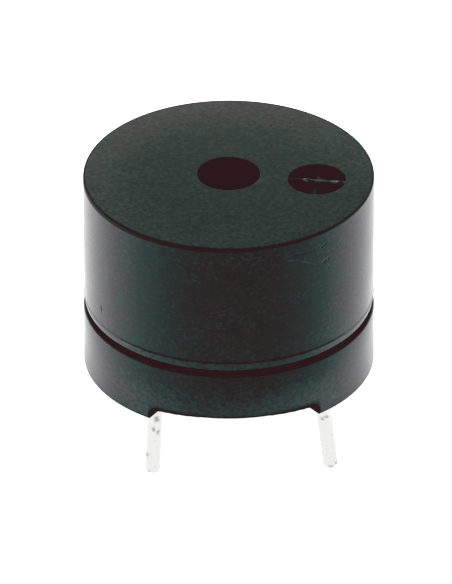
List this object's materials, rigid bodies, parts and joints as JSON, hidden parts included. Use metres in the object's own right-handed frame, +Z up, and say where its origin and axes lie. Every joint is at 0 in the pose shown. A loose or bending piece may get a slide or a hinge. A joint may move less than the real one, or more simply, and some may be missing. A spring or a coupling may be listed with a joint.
{
  "type": "magnetic buzzer",
  "caption": "Round black through-hole buzzer: a cup with a sound hole and a plus mark on a lugged base, with wire pins, coil, ring magnet and diaphragm inside.",
  "frame": {"origin": "where the case's axis meets the seating plane that the lugs stand on", "axes": "+Z up along the case's axis, out of the sound hole; +X towards the positive pin, along the line of the pins"},
  "size_m": [0.012, 0.012, 0.0144],
  "materials": {
    "moulded_black": "satin black moulding with faint scuffs",
    "phenolic_board": "brown paper laminate",
    "copper_foil": "etched copper, dulled",
    "tinned_wire": "bright tin with a few dull spots",
    "solder": "reflowed solder",
    "sealing_resin": "cured black resin with a hollow face",
    "plated_steel": "nickel plated",
    "enamelled_wire": "clear enamel over copper",
    "ferrite": "sintered and ground",
    "spring_steel": "rolled foil"
  },
  "bodies": {
    "root": {"upper_case": "moulded_black", "lower_case": "moulded_black", "circuit_board": "phenolic_board", "positive_land": "copper_foil", "negative_land": "copper_foil", "positive_pin": "tinned_wire", "negative_pin": "tinned_wire", "positive_pin_solder": "solder", "negative_pin_solder": "solder", "coil_start_solder": "solder", "coil_finish_solder": "solder", "sealing_compound": "sealing_resin", "yoke_plate": "plated_steel", "pole_core": "plated_steel", "coil_winding": "enamelled_wire", "coil_start_lead": "enamelled_wire", "coil_finish_lead": "enamelled_wire", "ring_magnet": "ferrite", "diaphragm": "spring_steel", "armature_disc": "plated_steel"}
  },
  "joints": []
}
